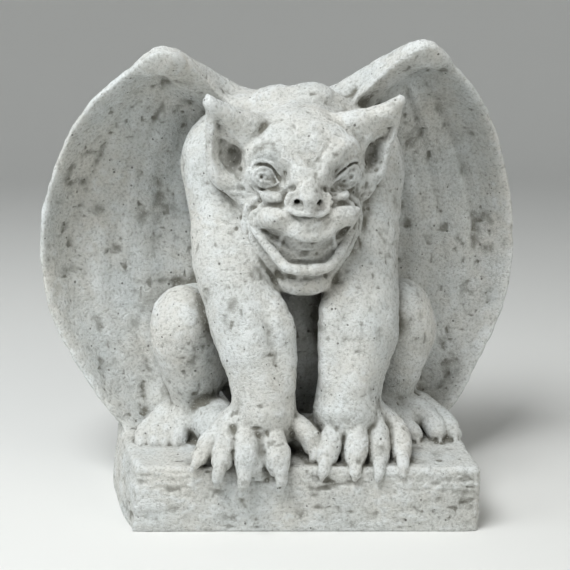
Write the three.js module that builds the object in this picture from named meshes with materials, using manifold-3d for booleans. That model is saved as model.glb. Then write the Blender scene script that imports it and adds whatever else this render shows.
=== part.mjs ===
// A crouching winged gargoyle, cast in one piece with its rough rectangular base.
// Millimetres, +Z up, +Y to the back. The origin is the middle of the underside.
import * as THREE from 'three';
import { mergeVertices } from 'three/addons/utils/BufferGeometryUtils.js';
import Module from 'manifold-3d';

// Driving dimensions
const BASE_HEIGHT = 42.4;
const BASE_EDGE_ROUND = 3;
const BASE_FRONT_Y = -85;
const BASE_BACK_Y = 75;
const FIGURE_TURN_DEG = 9;
const FIGURE_SHIFT_X = 9.5;
const WING_PEAK_Z = 300;
const WING_REACH_X = 166.5;
const WING_THICKNESS = 10;
const WING_BOWL_DEPTH = 22;
const WING_RIDGES = 3;
const WING_RIDGE_HEIGHT = 2.5;
const EAR_THICKNESS = 6;
const EAR_BOWL_DEPTH = 8;
const HEAD_CENTRE = [0, -38, 222];
const EYE_X = 17.5;
const EYE_Z = 220;
const MOUTH_Z = 174;
const MOUTH_HALF_WIDTH = 29;
const MOUTH_OPENING = 13;
const STONE = { color: 0xc8ccc8, roughness: 0.9, metalness: 0 };

const wasm = await Module();
wasm.setup();

// Turns a closed three.js geometry into a solid that can be joined and cut.
function toSolid(geometry) {
  const bare = geometry.clone();
  bare.deleteAttribute('normal');
  bare.deleteAttribute('uv');
  const merged = mergeVertices(bare, 1e-4);
  return new wasm.Manifold(new wasm.Mesh({
    numProp: 3,
    vertProperties: new Float32Array(merged.attributes.position.array),
    triVerts: new Uint32Array(merged.index.array),
  }));
}

function toGeometry(solid) {
  const mesh = solid.getMesh();
  const geometry = new THREE.BufferGeometry();
  geometry.setAttribute('position', new THREE.BufferAttribute(mesh.vertProperties, 3));
  geometry.setIndex(new THREE.BufferAttribute(mesh.triVerts, 1));
  return geometry;
}

// Keeps the largest closed surface, so that pockets left between joined masses are filled.
function filled(geometry) {
  const corners = geometry.index.array;
  const leader = Array.from({ length: geometry.attributes.position.count }, (_, i) => i);
  const find = (i) => {
    let top = i;
    while (leader[top] !== top) {
      leader[top] = leader[leader[top]];
      top = leader[top];
    }
    return top;
  };
  for (let i = 0; i < corners.length; i += 3) {
    leader[find(corners[i])] = find(corners[i + 1]);
    leader[find(corners[i + 1])] = find(corners[i + 2]);
  }
  const counts = new Map();
  for (const corner of corners) {
    counts.set(find(corner), (counts.get(find(corner)) ?? 0) + 1);
  }
  const largest = [...counts].sort((a, b) => b[1] - a[1])[0][0];
  const kept = geometry.clone();
  kept.setIndex([...corners].filter((corner) => find(corner) === largest));
  return mergeVertices(kept.toNonIndexed(), 1e-4);
}

function join(solids) {
  return solids.reduce((whole, piece) => whole.add(piece));
}

// An egg-shaped mass: centre, half sizes, and a turn in degrees about X, Y and Z.
function mass(centre, radii, turn = [0, 0, 0], around = 10, rings = 7) {
  const geometry = new THREE.SphereGeometry(1, around, rings);
  const angles = turn.map(THREE.MathUtils.degToRad);
  const matrix = new THREE.Matrix4().compose(
    new THREE.Vector3(...centre),
    new THREE.Quaternion().setFromEuler(new THREE.Euler(...angles, 'ZYX')),
    new THREE.Vector3(...radii),
  );
  return toSolid(geometry.applyMatrix4(matrix));
}

// A round-ended limb along a smooth curve. Each stop is [x, y, z, radius].
function limb(stops, around = 6, rings = 6, capShare = 0.2) {
  const curve = new THREE.CatmullRomCurve3(stops.map(([x, y, z]) => new THREE.Vector3(x, y, z)));
  const frameSteps = 24;
  const frames = curve.computeFrenetFrames(frameSteps, false);
  const geometry = new THREE.SphereGeometry(1, around, rings);
  const position = geometry.attributes.position;
  const point = new THREE.Vector3();
  for (let i = 0; i < position.count; i += 1) {
    point.fromBufferAttribute(position, i);
    const along = Math.acos(THREE.MathUtils.clamp(point.y, -1, 1)) / Math.PI;
    const turn = Math.atan2(point.z, point.x);
    const t = THREE.MathUtils.clamp((along - capShare) / (1 - 2 * capShare), 0, 1);
    const radius = radiusAt(stops, t);
    const nearEnd = Math.min(along, 1 - along);
    const capAngle = Math.min(nearEnd / capShare, 1) * Math.PI / 2;
    const side = along < 0.5 ? -1 : 1;
    const k = Math.round(t * frameSteps);
    const outward = radius * Math.sin(capAngle);
    point.copy(curve.getPoint(t));
    point.addScaledVector(frames.normals[k], outward * Math.cos(turn));
    point.addScaledVector(frames.binormals[k], outward * Math.sin(turn));
    point.addScaledVector(frames.tangents[k], side * radius * Math.cos(capAngle));
    position.setXYZ(i, point.x, point.y, point.z);
  }
  const solid = toSolid(geometry);
  return solid.volume() > 0 ? solid : toSolid(flipped(geometry));
}

function radiusAt(stops, t) {
  const place = t * (stops.length - 1);
  const i = Math.min(Math.floor(place), stops.length - 2);
  return THREE.MathUtils.lerp(stops[i][3], stops[i + 1][3], place - i);
}

function flipped(geometry) {
  const turned = geometry.clone();
  const order = turned.index.array;
  for (let i = 0; i < order.length; i += 3) {
    [order[i], order[i + 1]] = [order[i + 1], order[i]];
  }
  return turned;
}

// A thin cupped leaf inside an outline of [x, z] points: a wing or an ear.
// middle(x, z, rho) gives the depth of its mid surface; rho is 0 at the centre, 1 at the rim.
function leaf(outline, centre, middle, thickness, around, rings) {
  const rim = new THREE.SplineCurve([...outline, outline[0]].map(([x, z]) => new THREE.Vector2(x, z)));
  const geometry = new THREE.SphereGeometry(1, around, rings);
  const position = geometry.attributes.position;
  for (let i = 0; i < position.count; i += 1) {
    const share = Math.atan2(position.getZ(i), position.getX(i)) / (2 * Math.PI);
    const lat = Math.acos(THREE.MathUtils.clamp(position.getY(i), -1, 1));
    const rho = Math.sin(lat) ** 0.8;
    const edge = rim.getPoint((share + 1) % 1);
    const x = THREE.MathUtils.lerp(centre[0], edge.x, rho);
    const z = THREE.MathUtils.lerp(centre[1], edge.y, rho);
    const half = 0.5 * thickness * Math.abs(Math.cos(lat)) ** 0.5 * Math.sign(Math.cos(lat));
    position.setXYZ(i, x, middle(x, z, rho) + half, z);
  }
  const solid = toSolid(geometry);
  return solid.volume() > 0 ? solid : toSolid(flipped(geometry));
}

function both(make) {
  return [make(-1), make(1)];
}

// The base: a rough slab whose sides bow outwards, with worn rounded edges.
function base() {
  const shape = new THREE.Shape();
  shape.moveTo(-83, BASE_FRONT_Y);
  shape.lineTo(118, BASE_FRONT_Y);
  shape.quadraticCurveTo(127, BASE_FRONT_Y, 126, BASE_FRONT_Y + 9);
  shape.quadraticCurveTo(123, -5, 114, BASE_BACK_Y - 9);
  shape.quadraticCurveTo(113, BASE_BACK_Y, 104, BASE_BACK_Y);
  shape.lineTo(-105, BASE_BACK_Y);
  shape.quadraticCurveTo(-114, BASE_BACK_Y, -115, BASE_BACK_Y - 9);
  shape.quadraticCurveTo(-119, -5, -93, BASE_FRONT_Y + 10);
  shape.quadraticCurveTo(-90, BASE_FRONT_Y, -83, BASE_FRONT_Y);
  const slab = new THREE.ExtrudeGeometry(shape, {
    depth: BASE_HEIGHT,
    steps: 1,
    curveSegments: 6,
    bevelEnabled: true,
    bevelThickness: BASE_EDGE_ROUND,
    bevelSize: BASE_EDGE_ROUND,
    bevelOffset: -BASE_EDGE_ROUND,
    bevelSegments: 2,
  });
  slab.translate(0, 0, -BASE_EDGE_ROUND);
  const upper = new THREE.BoxGeometry(400, 400, 400).translate(0, 0, 200);
  return toSolid(slab).intersect(toSolid(upper));
}

function torso() {
  const parts = [
    mass([0, 16, 112], [60, 42, 76], [0, 0, 0], 12, 9),
    mass([0, 8, 212], [60, 44, 60], [0, 0, 0], 14, 10),
    mass([0, 26, 160], [48, 34, 40]),
    mass([8, -6, 263], [24, 20, 12], [0, 0, 0], 8, 6),
    limb([[0, -4, 235, 34], [0, -24, 228, 32], [0, -40, 222, 30]], 10, 6),
  ];
  return join(parts);
}

// The head sits low and far forward of the shoulders.
function head() {
  const [x, y, z] = HEAD_CENTRE;
  const parts = [
    mass([x, y, z], [37, 38, 39], [0, 0, 0], 14, 10),
    mass([0, -46, 178], [29, 26, 34], [0, 0, 0], 12, 9),
    mass([0, -58, 196], [27, 17, 16], [0, 0, 0], 9, 6),
    mass([0, -48, 152], [17, 14, 10], [0, 0, 0], 8, 6),
  ];
  for (const side of [-1, 1]) {
    parts.push(limb([[side * 6, -66, 226, 5], [side * 18, -64, 233, 6], [side * 31, -54, 232, 5]]));
    parts.push(mass([side * EYE_X, -60, EYE_Z], [7, 6, 6], [0, 0, 0], 8, 6));
    parts.push(limb([[side * 14, -68, 208, 7], [side * 27, -58, 200, 7], [side * 31, -50, 184, 6]]));
    parts.push(limb([[side * 25, -50, 182, 6], [side * 22, -52, 166, 6], [side * 12, -54, 152, 6]]));
    parts.push(mass([side * 9.5, -73, 208], [6, 6, 5], [0, 0, 0], 7, 5));
  }
  parts.push(limb([[0, -62, 232, 6], [0, -68, 220, 7], [0, -72, 210, 9]]));
  parts.push(mass([0, -72, 207], [10, 9, 8], [0, 0, 0], 8, 6));
  let whole = join(parts);
  whole = whole.subtract(mass([0, -72, MOUTH_Z], [MOUTH_HALF_WIDTH * 0.85, 22, MOUTH_OPENING / 2]));
  for (const side of [-1, 1]) {
    whole = whole.subtract(mass([side * 6.5, -82, 205], [3, 4, 2.5], [0, 0, 0], 6, 4));
  }
  const lips = [
    limb(
      [[-26, -56, 188, 5], [-14, -68, 182, 4.5], [0, -71, 182, 5], [14, -68, 182, 4.5], [26, -56, 188, 5]], 6, 10,
    ),
    limb(
      [[-24, -54, 178, 3], [-12, -62, 165, 4], [0, -64, 163, 4.5], [12, -62, 165, 4], [24, -54, 178, 3]], 6, 10,
    ),
    mass([0, -56, 170], [10, 12, 3.5], [0, 0, 0], 8, 6),
  ];
  return whole.add(join(lips));
}

function ear(side) {
  const outline = [
    [21, 252], [38, 259], [60, 269], [61, 252], [59, 234], [52, 214], [40, 198], [30, 205], [28, 228],
  ].map(([x, z]) => [side * x, z]);
  const depth = (x, z, rho) => -36 - 14 * Math.max(0, (z - 240) / 29) - 6 * rho ** 3 + EAR_BOWL_DEPTH * (1 - rho ** 2);
  const cup = leaf(outline, [side * 44, 233], depth, EAR_THICKNESS, 12, 6);
  const rim = limb([[side * 20, -40, 248, 7], [side * 38, -44, 257, 6.5], [side * 57, -51, 266, 4]]);
  return cup.add(rim);
}

function arm(side) {
  const upper = limb([
    [side * 42, -12, 226, 28], [side * 43, -24, 190, 27], [side * 41, -36, 158, 26],
    [side * 37, -44, 128, 25], [side * 29, -55, 90, 21], [side * 30, -66, 70, 17],
  ], 10, 12, 0.12);
  const shoulder = mass([side * 42, -6, 232], [29, 30, 32]);
  return upper.add(shoulder);
}

// A digit with its claw. Stops run from the knuckle to the claw's tip.
function digit(knuckle, middle, tip, width) {
  return limb([[...knuckle, width * 0.55], [...middle, width * 0.5], [...tip, width * 0.22]], 6, 5);
}

function leftHand() {
  const parts = [mass([-32, -60, 62], [30, 22, 17])];
  const digits = [
    [[-54.6, -68, 70], [-68, -80, 54], [-71, -83, 45.5]],
    [[-51.6, -74, 62], [-57, -88, 46], [-59.8, -91, 34]],
    [[-38.8, -76, 66], [-41.3, -90, 49], [-44, -93, 31]],
    [[-25.7, -76, 66], [-22.8, -90, 48], [-20.4, -92, 33]],
    [[-8, -66, 70], [3.5, -74, 63], [3.6, -78, 51]],
  ];
  for (const [knuckle, middle, tip] of digits) {
    parts.push(digit(knuckle, middle, tip, 15));
  }
  return join(parts);
}

function rightHand() {
  const parts = [mass([34, -58, 60], [30, 22, 17])];
  const digits = [
    [[20, -70, 66], [12.6, -84, 53], [6, -89, 39]],
    [[30.4, -74, 68], [26.8, -87, 53], [25.4, -92, 38.5]],
    [[45, -72, 66], [41, -87, 52], [40.6, -90, 37]],
    [[57.8, -66, 62], [57, -79, 48], [55.8, -86, 36]],
  ];
  for (const [knuckle, middle, tip] of digits) {
    parts.push(digit(knuckle, middle, tip, 14));
  }
  return join(parts);
}

// The folded hind leg: haunch, knee in front of it, shank running in to the ankle.
function hindLeg(side) {
  const haunch = mass([side * 66, 10, 104], [30, 44, 44], [20, 0, 0], 12, 9);
  const knee = mass([side * 73, -16, 118], [23, 24, 28]);
  const shank = limb([[side * 72, -22, 108, 21], [side * 70, -20, 84, 17], [side * 68, -16, 58, 15]], 10, 8);
  return join([haunch, knee, shank]);
}

function leftFoot() {
  const parts = [mass([-76, -24, 56], [24, 24, 15])];
  const toes = [
    [[-62, -32, 62], [-60, -46, 57], [-60, -51, 50]],
    [[-72, -32, 63], [-73, -45, 58], [-72, -52, 50]],
    [[-82, -32, 63], [-87, -42, 58], [-87, -50, 50]],
    [[-91, -28, 62], [-99, -38, 58], [-103.6, -42, 49]],
  ];
  for (const [knuckle, middle, tip] of toes) {
    parts.push(digit(knuckle, middle, tip, 14));
  }
  return join(parts);
}

function rightFoot() {
  const parts = [mass([82, -24, 54], [24, 24, 15])];
  const toes = [
    [[64, -32, 62], [73, -46, 54], [76, -52, 44]],
    [[82, -28, 62], [91, -40, 54], [94, -46, 41]],
    [[94, -24, 58], [103, -32, 52], [108, -38, 40]],
  ];
  for (const [knuckle, middle, tip] of toes) {
    parts.push(digit(knuckle, middle, tip, 14));
  }
  return join(parts);
}

// A wing: a cupped leaf that stands up from the shoulder blade, its rim curled forwards.
function wing(side) {
  const outline = [
    [30, 262], [50, 275], [72, 294], [86, WING_PEAK_Z], [112, 281], [138, 253], [157, 213], [WING_REACH_X, 168],
    [162, 122], [140, 78], [110, 40], [78, 52], [58, 92], [44, 150], [34, 210],
  ].map(([x, z]) => [side * x, z]);
  const centre = [side * 102, 168];
  const sweep = (z) => 30 - (z > 165 ? 0.0028 : 0.0017) * (z - 165) ** 2;
  const middle = (x, z, rho) => {
    const fan = Math.cos(2 * Math.PI * WING_RIDGES * (Math.abs(x) - 40) / 125);
    const bowl = WING_BOWL_DEPTH * (1 - rho ** 3);
    return sweep(z) + bowl + WING_RIDGE_HEIGHT * fan * (1 - rho ** 2);
  };
  const blade = leaf(outline, centre, middle, WING_THICKNESS, 28, 9);
  const bone = limb([
    [side * 30, 18, 250, 13], [side * 56, 8, 272, 11], [side * 76, -12, 290, 9], [side * 84, -18, 292, 7],
  ], 7, 8);
  return blade.add(bone);
}

const figure = join([
  torso(), head(), ...both(ear), ...both(arm), ...both(hindLeg), ...both(wing),
  leftHand(), rightHand(), leftFoot(), rightFoot(),
]);
const placed = toGeometry(figure);
placed.translate(FIGURE_SHIFT_X, 0, 0);
placed.rotateZ(THREE.MathUtils.degToRad(FIGURE_TURN_DEG));

const casting = filled(toGeometry(base().add(toSolid(placed))));
casting.computeBoundingBox();
const middleOfBox = casting.boundingBox.getCenter(new THREE.Vector3());
casting.translate(-middleOfBox.x, -middleOfBox.y, 0);

const gargoyle = new THREE.Mesh(casting, new THREE.MeshStandardMaterial(STONE));
gargoyle.name = 'gargoyle';

const group = new THREE.Group();
group.add(gargoyle);

export default group;
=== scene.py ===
import math
import bmesh
import bpy
import numpy as np
import openvdb
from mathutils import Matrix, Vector


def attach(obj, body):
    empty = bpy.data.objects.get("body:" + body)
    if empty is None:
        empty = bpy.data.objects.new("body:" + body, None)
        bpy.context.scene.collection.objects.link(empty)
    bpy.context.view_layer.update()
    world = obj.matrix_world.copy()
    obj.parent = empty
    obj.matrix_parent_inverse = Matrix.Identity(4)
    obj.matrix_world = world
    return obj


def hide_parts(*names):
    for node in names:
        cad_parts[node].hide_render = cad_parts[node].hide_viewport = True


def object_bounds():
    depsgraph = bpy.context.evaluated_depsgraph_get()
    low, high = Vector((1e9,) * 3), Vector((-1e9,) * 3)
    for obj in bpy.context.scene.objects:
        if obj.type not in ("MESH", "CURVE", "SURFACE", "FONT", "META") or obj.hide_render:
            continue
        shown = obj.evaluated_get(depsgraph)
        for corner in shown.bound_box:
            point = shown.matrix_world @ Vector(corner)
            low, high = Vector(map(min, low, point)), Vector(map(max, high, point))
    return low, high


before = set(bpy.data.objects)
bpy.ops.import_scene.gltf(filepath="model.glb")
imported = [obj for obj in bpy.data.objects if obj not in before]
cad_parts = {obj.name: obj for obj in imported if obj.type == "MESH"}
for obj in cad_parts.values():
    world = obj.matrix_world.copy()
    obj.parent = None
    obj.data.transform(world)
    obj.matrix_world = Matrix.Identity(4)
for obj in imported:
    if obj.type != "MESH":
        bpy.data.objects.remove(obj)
cad_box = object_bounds()

# The base: a rough slab cast in one with the figure, flat below, its sides bowed outwards
# and its edges rounded by wear. The master for the mould was modelled in clay, masses
# pressed together and then cut into, and the base was laid down first.
BASE_HEIGHT = 42.4
BASE_ROUND = 3.0
# The left side leans in by so much at the top, from LEAN_START outwards.
LEFT_LEAN = 6.0
LEAN_START = -60
LEAN_EASE = 40

# The clay is held as distances to its skin on an even grid, in millimetres, negative
# inside, and never more than FAR. Its frame is the figure's own, x to the right as seen
# from the front, y to the back and z up from the underside, and the figure stands
# turned on its base. Left and right are as seen from the front.
CELL = 0.8
FAR = 12.0
SPARE_CELLS = 2.5
CLAY_LOW = np.array((-176.0, -108.0, -2.0))
CLAY_HIGH = np.array((176.0, 98.0, 304.0))
clay_count = np.ceil((CLAY_HIGH - CLAY_LOW) / CELL).astype(int) + 1
clay_lines = [(CLAY_LOW[i] + CELL * np.arange(clay_count[i])).astype(np.float32) for i in range(3)]
clay_skin = np.full(clay_count, FAR, np.float32)

FIGURE_TURN = math.radians(9)
TURN_COS = math.cos(FIGURE_TURN)
TURN_SIN = math.sin(FIGURE_TURN)
FIGURE_SHIFT = 9.5


# The part of the grid that a mass between two corners reaches, with a seam k wide.
def window(low, high, k):
    spans = []
    reach = k + SPARE_CELLS * CELL
    for i in range(3):
        start = max(int(math.floor((low[i] - reach - CLAY_LOW[i]) / CELL)), 0)
        stop = min(int(math.ceil((high[i] + reach - CLAY_LOW[i]) / CELL)) + 1, clay_count[i])
        spans.append(slice(start, stop))
    return tuple(spans)


def points_in(spans):
    return (
        clay_lines[0][spans[0]][:, None, None],
        clay_lines[1][spans[1]][None, :, None],
        clay_lines[2][spans[2]][None, None, :],
    )


def soft_min(a, b, k):
    if k <= 0:
        return np.minimum(a, b)
    blend = np.clip(0.5 + 0.5 * (a - b) / k, 0, 1)
    return a + (b - a) * blend - k * blend * (1 - blend)


# Joins a shape to the clay, or cuts it out, with a soft seam k wide.
def press(spans, shape, k, cut=False):
    here = clay_skin[spans]
    if cut:
        clay_skin[spans] = -soft_min(-here, shape, k)
    else:
        clay_skin[spans] = soft_min(here, shape, k)


# The point a share t of the way from b to c, on a smooth line that also passes a and d.
def between(a, b, c, d, t):
    return 0.5 * (
        2 * b + (c - a) * t + (2 * a - 5 * b + 4 * c - d) * t ** 2 + (3 * b - a - 3 * c + d) * t ** 3
    )


def smooth_loop(points, steps=6):
    points = np.array(points, float)
    before = np.roll(points, 1, 0)
    after = np.roll(points, -1, 0)
    beyond = np.roll(points, -2, 0)
    loop = []
    for a, b, c, d in zip(before, points, after, beyond):
        loop += [between(a, b, c, d, t) for t in np.linspace(0, 1, steps, endpoint=False)]
    return np.array(loop)


# How far points lie from a closed outline, negative inside it.
def outline_distance(outline, x, z):
    nearest = np.full(x.shape, 1e9)
    inside = np.zeros(x.shape, bool)
    for (ax, az), (bx, bz) in zip(outline, np.roll(outline, -1, axis=0)):
        dx, dz = bx - ax, bz - az
        share = np.clip(((x - ax) * dx + (z - az) * dz) / (dx * dx + dz * dz + 1e-12), 0, 1)
        nearest = np.minimum(nearest, (x - ax - share * dx) ** 2 + (z - az - share * dz) ** 2)
        if az != bz:
            crossing = (az > z) != (bz > z)
            inside ^= crossing & (x < (bx - ax) * (z - az) / (bz - az) + ax)
    return np.where(inside, -1, 1) * np.sqrt(nearest)


# Where points of the figure's own frame stand in the base's frame.
def turned_on_base(x, y):
    wide = (x + FIGURE_SHIFT) * TURN_COS - y * TURN_SIN
    deep = (x + FIGURE_SHIFT) * TURN_SIN + y * TURN_COS
    return wide, deep


base_plan = smooth_loop([
    (-90, -83), (-86, -85.5), (-40, -85), (20, -85), (80, -85), (120, -85), (126, -83), (127, -76),
    (123, -36), (118, 20), (113, 70), (108, 75), (40, 76), (-60, 75), (-108, 75), (-114, 70),
    (-117, 30), (-115, 0), (-108, -30), (-100, -59), (-92, -79),
])


def model_base():
    spans = window((-150, -110, -2), (140, 98, BASE_HEIGHT), 4)
    x, y, z = points_in(spans)
    wide, deep = turned_on_base(x, y)
    edge = outline_distance(base_plan, wide[:, :, 0], deep[:, :, 0]).astype(np.float32)[:, :, None]
    left = np.clip((LEAN_START - wide) / LEAN_EASE, 0, 1)
    edge = edge + left * z * (LEFT_LEAN / BASE_HEIGHT)
    out = edge + BASE_ROUND
    up = z - BASE_HEIGHT + BASE_ROUND
    shape = np.minimum(np.maximum(out, up), 0)
    shape = shape + np.sqrt(np.maximum(out, 0) ** 2 + np.maximum(up, 0) ** 2) - BASE_ROUND
    press(spans, np.maximum(shape, -z), 0)


model_base()


# The body: belly, chest and a humped back with a row of low knobs down the spine, and
# the neck that reaches forward. It is all egg-shaped masses and rolls of clay, smoothed
# into each other.
THINNEST = 0.3
KNOBS = 7
KNOB_STEP = 24


def turned_axes(turn):
    cx, cy, cz = np.cos(np.radians(turn))
    sx, sy, sz = np.sin(np.radians(turn))
    about_x = np.array([[1, 0, 0], [0, cx, -sx], [0, sx, cx]])
    about_y = np.array([[cy, 0, sy], [0, 1, 0], [-sy, 0, cy]])
    about_z = np.array([[cz, -sz, 0], [sz, cz, 0], [0, 0, 1]])
    return about_z @ about_y @ about_x


# An egg-shaped mass with half sizes radii, turned in degrees about X, Y and Z.
def egg(centre, radii, k=4.0, turn=(0, 0, 0), cut=False):
    centre = np.array(centre, float)
    radii = np.array(radii, float)
    axes = turned_axes(turn)
    reach = np.sqrt(((axes * radii) ** 2).sum(axis=1))
    spans = window(centre - reach, centre + reach, k)
    x, y, z = [line - np.float32(middle) for line, middle in zip(points_in(spans), centre)]
    inward = axes.T.astype(np.float32)
    across = [row[0] * x + row[1] * y + row[2] * z for row in inward]
    level = sum((a / np.float32(r)) ** 2 for a, r in zip(across, radii)) ** 0.5
    slope = sum((a / np.float32(r * r)) ** 2 for a, r in zip(across, radii)) ** 0.5
    press(spans, level * (level - 1) / (slope + np.float32(1e-6)), k, cut)


# A smooth line through stops of (x, y, z, radius), with closer points where it is thin.
def smooth_line(stops):
    stops = np.array(stops, float)
    padded = np.vstack([2 * stops[0] - stops[1], stops, 2 * stops[-1] - stops[-2]])
    line = []
    for a, b, c, d in zip(padded, padded[1:], padded[2:], padded[3:]):
        length = np.linalg.norm((c - b)[:3])
        count = int(np.clip(math.ceil(length / (0.8 * max(min(b[3], c[3]), 1))), 1, 8))
        if len(stops) < 3:
            count = 1
        line += [between(a, b, c, d, t) for t in np.linspace(0, 1, count, endpoint=False)]
    line = np.array(line + [stops[-1]])
    line[:, 3] = np.maximum(line[:, 3], THINNEST)
    return line


# A rounded roll of clay along a smooth line through stops of (x, y, z, radius).
def roll(stops, k=4.0, cut=False):
    stops = smooth_line(stops)
    radii = stops[:, 3]
    low = (stops[:, :3] - radii[:, None]).min(axis=0)
    high = (stops[:, :3] + radii[:, None]).max(axis=0)
    spans = window(low, high, k)
    x, y, z = points_in(spans)
    shape = np.float32(1e6)
    for start, stop in zip(stops[:-1], stops[1:]):
        run = (stop - start)[:3].astype(np.float32)
        px = x - np.float32(start[0])
        py = y - np.float32(start[1])
        pz = z - np.float32(start[2])
        share = (px * run[0] + py * run[1] + pz * run[2]) / np.float32((run ** 2).sum() + 1e-9)
        share = np.clip(share, 0, 1)
        gap = np.sqrt((px - share * run[0]) ** 2 + (py - share * run[1]) ** 2 + (pz - share * run[2]) ** 2)
        shape = np.minimum(shape, gap - np.float32(start[3]) - share * np.float32(stop[3] - start[3]))
    press(spans, shape, k, cut)


def model_body():
    egg((0, 18, 108), (58, 42, 76), 2)
    egg((0, 8, 110), (30, 40, 64), 8)
    egg((0, 22, 165), (50, 38, 50), 10)
    egg((0, 6, 214), (57, 44, 50), 12)
    egg((1, 4, 243.5), (45, 34, 26.5), 9)
    roll([(0, -2, 238, 32), (0, -20, 231, 31), (0, -34, 226, 30)], 8)
    egg((12, -10, 266), (14, 12, 8.5), 6)
    egg((-13, -8, 264.5), (13, 12, 7.5), 6)
    egg((27, -6, 259), (10, 10, 8), 6)
    egg((-33, -4, 258), (12, 10, 8.5), 6)
    for knob in range(KNOBS):
        height = 250 - KNOB_STEP * knob
        back = 46 + 12 * math.sin(math.radians(20 + KNOB_STEP * knob))
        egg((0, back - 4, height), (7.5, 8, 9), 7)


model_body()


# The wings: cupped shells that stand up from the shoulder blades, with a thicker rim. A
# thick arm bone runs to the peak, and soft fingers fan down the hollow. The left peak
# stands a little lower than the right one.
WING_THICK = 9.0
RIM_EXTRA = 2.5
BOWL_DEPTH = 21
BOWL_EASE = 30
FINGERS = 3.6
FINGER_HEIGHT = 1.1
RIPPLES = 8.3
RIPPLE_HEIGHT = 0.4
ROOT_DEPTH = 8
ROOT_WIDE = 30
WAIST = 165
WAIST_BACK = 30
LEFT_RIM_DROP = 3.6
LEFT_BONE_DROP = 3.4
wing_outline = smooth_loop([
    (30, 250), (40, 264), (52, 275.5), (62, 285), (73, 295), (84, 299.5), (96, 293), (112, 280),
    (126, 267), (137, 253), (147, 236), (156, 214), (162.5, 193), (166, 170), (166, 148), (162, 122),
    (152, 98), (139, 76), (126, 56), (113, 42), (98, 36), (80, 50), (60, 90), (44, 140), (34, 200),
])


# A plate inside an outline of (x, z) points. middle and thick give its depth and
# thickness from x, z and the distance to the outline, which is negative inside.
def plate(outline, middle, thick, depth, k=4.0, cut=False):
    low = outline.min(axis=0)
    high = outline.max(axis=0)
    spans = window((low[0], depth[0], low[1]), (high[0], depth[1], high[1]), k)
    x, y, z = points_in(spans)
    flat_x, flat_z = np.broadcast_arrays(x[:, 0, :], z[:, 0, :])
    edge = outline_distance(outline, flat_x, flat_z)
    centre = middle(flat_x, flat_z, edge)
    half = 0.5 * thick(flat_x, flat_z, edge)
    lean_x, lean_z = np.gradient(centre, CELL)
    lean = 1 / np.sqrt(1 + lean_x ** 2 + lean_z ** 2)
    edge, centre, half, lean = [
        a.astype(np.float32)[:, None, :] for a in (edge, centre, half, lean)
    ]
    inside = np.abs(y - centre) * lean
    past_edge = edge + half
    shape = np.minimum(np.maximum(past_edge, inside), 0)
    shape = shape + np.sqrt(np.maximum(past_edge, 0) ** 2 + inside ** 2 * (past_edge > 0))
    shape = np.where(past_edge > 0, shape, inside) - half
    press(spans, shape, k, cut)


def mirrored(side, stops):
    return [(side * stop[0], *stop[1:]) for stop in stops]


# The wing stands furthest back at its waist, and curves forward above and below it.
def wing_sweep(z):
    above = np.maximum(z - WAIST, 0)
    below = np.minimum(z - WAIST, 0)
    return WAIST_BACK - 0.0028 * above ** 2 - 0.0017 * below ** 2


def model_wing(side):
    outline = wing_outline * (side, 1)
    if side < 0:
        outline[:, 1] -= np.clip((outline[:, 1] - 250) / 45, 0, 1) * LEFT_RIM_DROP

    def middle(x, z, edge):
        across = np.abs(x)
        inward = np.clip(-edge / BOWL_EASE, 0, 1)
        bowl = BOWL_DEPTH * (1 - (1 - inward) ** 2)
        fan = (across - 46) / np.maximum(120 - 0.004 * (z - 150) ** 2, 60)
        fade = np.clip(inward * 1.6 - 0.5, 0, 1)
        fingers = np.cos(2 * math.pi * FINGERS * fan + 0.8 * np.sin(z / 38)) * fade
        ripple = np.cos(2 * math.pi * RIPPLES * fan + 1.7 * np.sin(z / 27 + x / 20)) * fade
        root = np.clip((2 * ROOT_WIDE - across) / ROOT_WIDE, 0, 1)
        return wing_sweep(z) + bowl + FINGER_HEIGHT * fingers + RIPPLE_HEIGHT * ripple - ROOT_DEPTH * root

    def thick(x, z, edge):
        return WING_THICK + RIM_EXTRA * np.exp(-((edge + 6) / 5) ** 2)

    plate(outline, middle, thick, (-60, 75), 5)
    drop = LEFT_BONE_DROP if side < 0 else 0
    roll(mirrored(side, [
        (30, 16, 256, 13), (44, 14, 266, 11), (58, 6, 277 - 0.5 * drop, 10), (72, -6, 287 - drop, 9),
        (82, -16, 291 - drop, 8), (91, -15, 288.5 - drop, 5.5),
    ]), 10)


for side in (-1, 1):
    model_wing(side)


# The folded hind legs: a haunch behind, a round knee in front and a shank that comes
# down to a flat foot. The feet's toes are laid on later, with their claws.
def model_hind_leg(side):
    egg((side * 63, 14, 100), (30, 42, 38), 6, (16, 0, 0))
    egg((side * 72.5, -12, 116), (23, 25, 28), 7)
    if side < 0:
        roll([(-71, -12, 104, 22), (-69, -11, 82, 18), (-67, -6, 62, 15)], 6)
        egg((-72, -3, 52), (20, 25, 13), 6)
    else:
        roll([(74, -14, 106, 23), (70, -16, 84, 18), (68, -14, 62, 14)], 6)
        egg((78, -18, 52), (22, 24, 14), 5)


for side in (-1, 1):
    model_hind_leg(side)


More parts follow.
